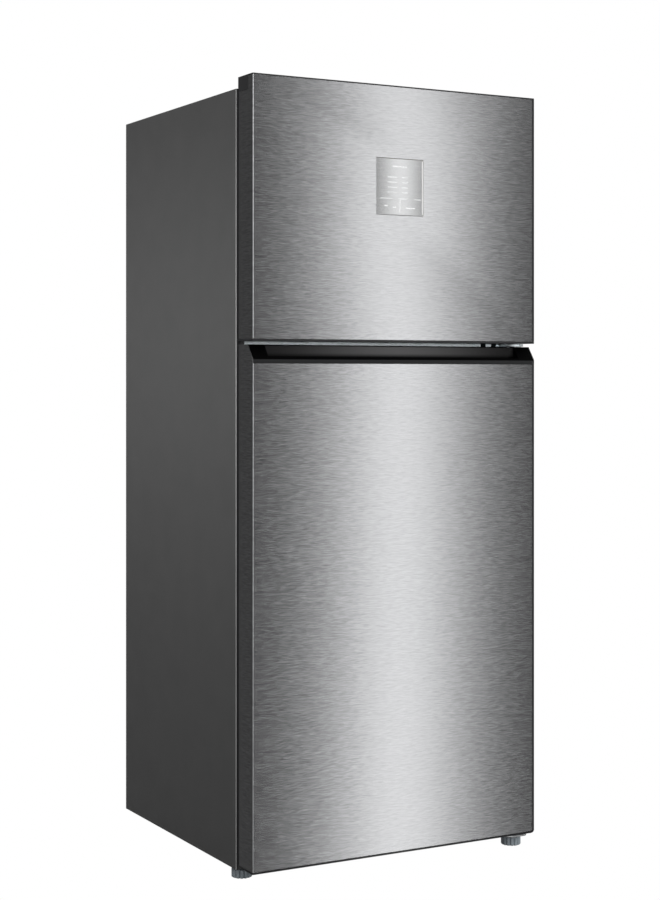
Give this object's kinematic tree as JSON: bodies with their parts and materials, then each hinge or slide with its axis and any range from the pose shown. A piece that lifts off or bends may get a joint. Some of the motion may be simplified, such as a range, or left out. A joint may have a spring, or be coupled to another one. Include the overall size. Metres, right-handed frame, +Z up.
{
  "type": "top freezer refrigerator",
  "caption": "Tall two-door refrigerator with the freezer on top, pocket pull in the lower door, touch panel, shelves, drawers and levelling feet.",
  "frame": {"origin": "on the floor, under the middle of the bounding box", "axes": "+Z up, the doors face -Y, +X is to the right of someone facing the doors"},
  "size_m": [0.7, 0.69, 1.67],
  "materials": {
    "dark_steel": "satin",
    "charcoal_paint": "satin",
    "zinc_steel": "satin",
    "black_plastic": "satin",
    "grey_plastic": "satin",
    "white_plastic": "satin",
    "foam": "matte",
    "seal_rubber": "matte",
    "shelf_glass": "gloss",
    "clear_plastic": "gloss",
    "fin_aluminium": "satin",
    "copper_pipe": "satin",
    "foot_plastic": "satin",
    "compressor_paint": "gloss"
  },
  "bodies": {
    "cabinet": {"cabinet_shell": "charcoal_paint", "back_panel": "zinc_steel", "base_pan": "zinc_steel", "cabinet_foam": "foam", "freezer_liner": "white_plastic", "fridge_liner": "white_plastic", "mullion_trim": "zinc_steel", "front_rail": "zinc_steel", "compressor_deck": "zinc_steel", "compressor": "compressor_paint", "drain_tray": "black_plastic", "suction_pipe": "copper_pipe", "compressor_cover": "charcoal_paint", "cord_grommet": "seal_rubber", "rear_spacer_left": "black_plastic", "rear_spacer_right": "black_plastic", "top_hinge": "zinc_steel", "top_hinge_cover": "grey_plastic", "middle_hinge": "zinc_steel", "bottom_hinge": "zinc_steel", "evaporator": "fin_aluminium", "evaporator_cover": "white_plastic", "fan_motor": "black_plastic", "air_duct": "white_plastic", "fridge_lamp": "clear_plastic", "freezer_shelf": "shelf_glass", "top_shelf": "shelf_glass", "middle_shelf": "shelf_glass", "lower_shelf": "shelf_glass", "crisper_cover": "shelf_glass", "ice_maker_frame": "white_plastic"},
    "freezer_door": {"freezer_door_skin": "dark_steel", "freezer_door_foam": "foam", "freezer_door_liner": "white_plastic", "freezer_door_top_cap": "grey_plastic", "freezer_door_bottom_cap": "black_plastic", "freezer_door_gasket": "seal_rubber", "control_panel": "grey_plastic", "freezer_door_upper_bin": "clear_plastic", "freezer_door_lower_bin": "clear_plastic"},
    "fridge_door": {"fridge_door_skin": "dark_steel", "fridge_door_foam": "foam", "fridge_door_liner": "white_plastic", "handle_cap": "black_plastic", "fridge_door_bottom_cap": "black_plastic", "fridge_door_gasket": "seal_rubber", "fridge_door_upper_bin": "clear_plastic", "fridge_door_middle_bin": "clear_plastic", "fridge_door_bottle_bin": "clear_plastic"},
    "chiller_drawer": {"chiller_drawer": "clear_plastic"},
    "crisper_left": {"crisper_drawer_left": "clear_plastic"},
    "crisper_right": {"crisper_drawer_right": "clear_plastic"},
    "ice_tray": {"ice_tray": "white_plastic"},
    "ice_bin": {"ice_bin": "clear_plastic"},
    "fan": {"evaporator_fan": "black_plastic"},
    "left_foot": {"foot_left": "foot_plastic"},
    "right_foot": {"foot_right": "foot_plastic"},
    "left_roller": {"roller_left": "black_plastic"},
    "right_roller": {"roller_right": "black_plastic"}
  },
  "joints": [
    {"name": "freezer_door_hinge", "type": "hinge", "parent": "cabinet", "child": "freezer_door", "pos_m": [0.328, -0.314, 1.4], "axis": [0, 0, 1], "range_deg": [0, 115]},
    {"name": "fridge_door_hinge", "type": "hinge", "parent": "cabinet", "child": "fridge_door", "pos_m": [0.328, -0.314, 0.58], "axis": [0, 0, 1], "range_deg": [0, 115]},
    {"name": "chiller_drawer_slide", "type": "slide", "parent": "cabinet", "child": "chiller_drawer", "axis": [0, -1, 0], "range_m": [0, 0.06]},
    {"name": "crisper_left_slide", "type": "slide", "parent": "cabinet", "child": "crisper_left", "axis": [0, -1, 0], "range_m": [0, 0.06]},
    {"name": "crisper_right_slide", "type": "slide", "parent": "cabinet", "child": "crisper_right", "axis": [0, -1, 0], "range_m": [0, 0.06]},
    {"name": "ice_tray_twist", "type": "hinge", "parent": "cabinet", "child": "ice_tray", "pos_m": [-0.21, -0.009, 1.528], "axis": [0, 1, 0], "range_deg": [0, 150]},
    {"name": "ice_bin_slide", "type": "slide", "parent": "cabinet", "child": "ice_bin", "axis": [0, -1, 0], "range_m": [0, 0.04]},
    {"name": "evaporator_fan_spin", "type": "hinge", "parent": "cabinet", "child": "fan", "pos_m": [0, 0.182, 1.46], "axis": [0, 1, 0], "continuous": true},
    {"name": "left_foot_turn", "type": "hinge", "parent": "cabinet", "child": "left_foot", "pos_m": [-0.316, -0.225, 0.01], "axis": [0, 0, 1], "continuous": true},
    {"name": "right_foot_turn", "type": "hinge", "parent": "cabinet", "child": "right_foot", "pos_m": [0.328, -0.284, 0.01], "axis": [0, 0, 1], "continuous": true},
    {"name": "left_roller_spin", "type": "hinge", "parent": "cabinet", "child": "left_roller", "pos_m": [-0.278, 0.3, 0.013], "axis": [1, 0, 0], "continuous": true},
    {"name": "right_roller_spin", "type": "hinge", "parent": "cabinet", "child": "right_roller", "pos_m": [0.278, 0.3, 0.013], "axis": [1, 0, 0], "continuous": true}
  ]
}
